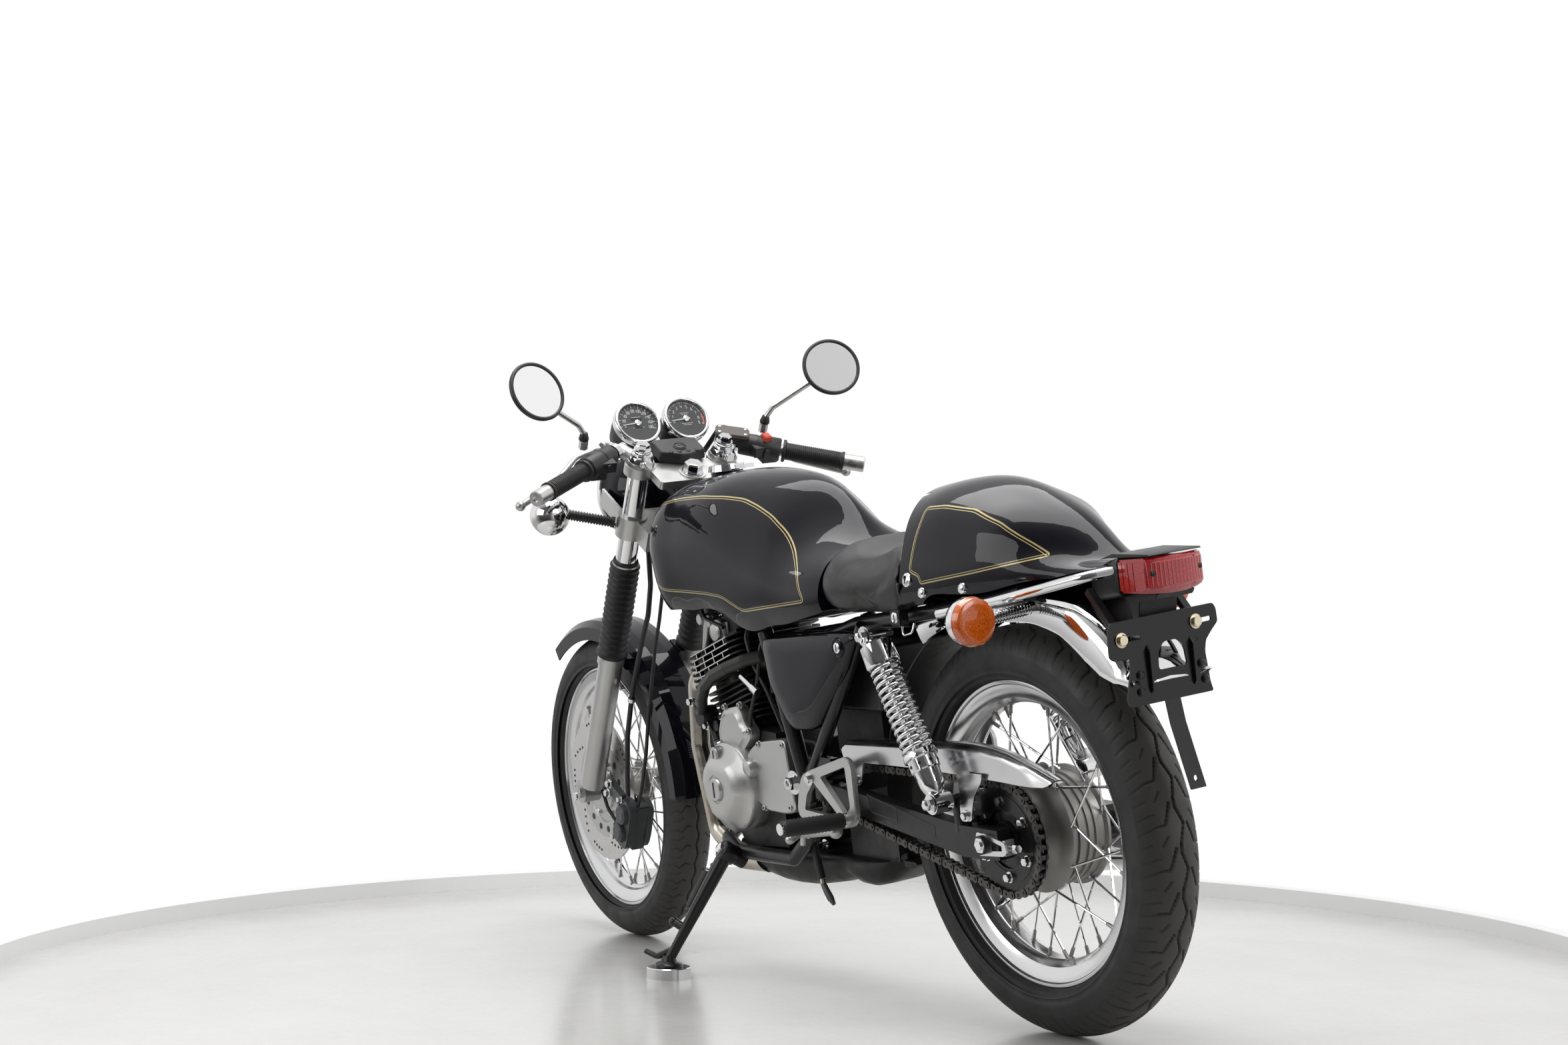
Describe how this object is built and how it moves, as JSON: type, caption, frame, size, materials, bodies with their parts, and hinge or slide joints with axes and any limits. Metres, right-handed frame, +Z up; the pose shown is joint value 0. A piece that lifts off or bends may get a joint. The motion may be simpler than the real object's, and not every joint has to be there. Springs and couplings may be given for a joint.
{
  "type": "cafe racer motorcycle",
  "caption": "Single-cylinder cafe racer motorcycle with clip-on bars, humped tail and spoked wheels, leaning on its side stand.",
  "frame": {"origin": "centre of the bounding box on the floor, with the machine leaning on its side stand", "axes": "+X forward, +Y to the machine's left, +Z up"},
  "size_m": [2.0991, 0.7457, 1.1878],
  "materials": {
    "tyre": "matt",
    "polished_alloy": "polished",
    "disc_steel": "brushed, drilled",
    "chrome": "mirror",
    "cast_alloy": "satin painted",
    "rubber": "matt",
    "black_paint": "gloss with gold lining",
    "frame_black": "satin gloss",
    "engine_black": "satin, machined fin edges",
    "black_plastic": "moulded",
    "header_steel": "heat tinted",
    "chain_steel": "oiled",
    "seat_vinyl": "satin vinyl",
    "red_lens": "ribbed lens"
  },
  "bodies": {
    "root": {"frame_spine": "frame_black", "frame_cradle": "frame_black", "frame_side_tubes": "frame_black", "seat_rails": "frame_black", "swingarm": "frame_black", "shock_absorbers": "chrome", "drive_chain": "chain_steel", "chain_guard": "polished_alloy", "crankcase": "engine_black", "cylinder_barrel": "engine_black", "cylinder_head": "engine_black", "alternator_cover": "polished_alloy", "sprocket_cover": "polished_alloy", "clutch_cover": "cast_alloy", "intake": "black_plastic", "exhaust_pipes": "header_steel", "exhaust_collector": "engine_black", "silencer": "chrome", "fuel_tank": "black_paint", "seat": "seat_vinyl", "tail_cowl": "black_paint", "side_covers": "black_paint", "rear_fender": "chrome", "tail_light": "red_lens", "plate_bracket": "frame_black", "grab_rail": "chrome", "rear_indicators": "chrome", "footrests": "polished_alloy"},
    "steering": {"fork_stanchions": "chrome", "fork_sliders": "cast_alloy", "fork_gaiters": "rubber", "top_clamp": "cast_alloy", "lower_clamp": "cast_alloy", "fork_caps": "chrome", "clip_on_bars": "polished_alloy", "grips": "rubber", "bar_weights": "chrome", "switchgear": "black_plastic", "hand_levers": "cast_alloy", "brake_reservoir": "black_plastic", "mirrors": "chrome", "clocks": "black_plastic", "ignition_lock": "black_plastic", "headlight": "chrome", "front_indicators": "chrome", "front_fender": "black_paint", "front_caliper": "frame_black", "brake_hose": "rubber"},
    "front_wheel_body": {"front_tyre": "tyre", "front_wheel": "polished_alloy", "front_brake_disc": "disc_steel"},
    "rear_wheel_body": {"rear_tyre": "tyre", "rear_wheel": "polished_alloy", "rear_sprocket": "chain_steel"},
    "stand": {"side_stand": "frame_black", "stand_puck": "cast_alloy"},
    "fuel_lid": {"filler_cap": "chrome"}
  },
  "joints": [
    {"name": "steering", "type": "hinge", "parent": "root", "child": "steering", "pos_m": [0.35043, -0.02294, 0.85768], "axis": [-0.5, 0.1243, 0.8571], "range_deg": [-28.7, 35.3]},
    {"name": "front_wheel_spin", "type": "hinge", "parent": "steering", "child": "front_wheel_body", "pos_m": [0.7409, -0.10621, 0.30741], "axis": [0.0499, 0.9921, -0.1148], "continuous": true},
    {"name": "rear_wheel_spin", "type": "hinge", "parent": "root", "child": "rear_wheel_body", "pos_m": [-0.66357, -0.10028, 0.32423], "axis": [0, 0.9897, -0.1435], "continuous": true},
    {"name": "side_stand_fold", "type": "hinge", "parent": "root", "child": "stand", "pos_m": [0.12743, 0.00599, 0.22091], "axis": [0.0934, 0.8834, 0.4592], "range_deg": [0, 84.8]},
    {"name": "filler_lid", "type": "hinge", "parent": "root", "child": "fuel_lid", "pos_m": [0.21843, -0.01304, 0.92594], "axis": [0, 0.9897, -0.1435], "range_deg": [0, 85]}
  ]
}
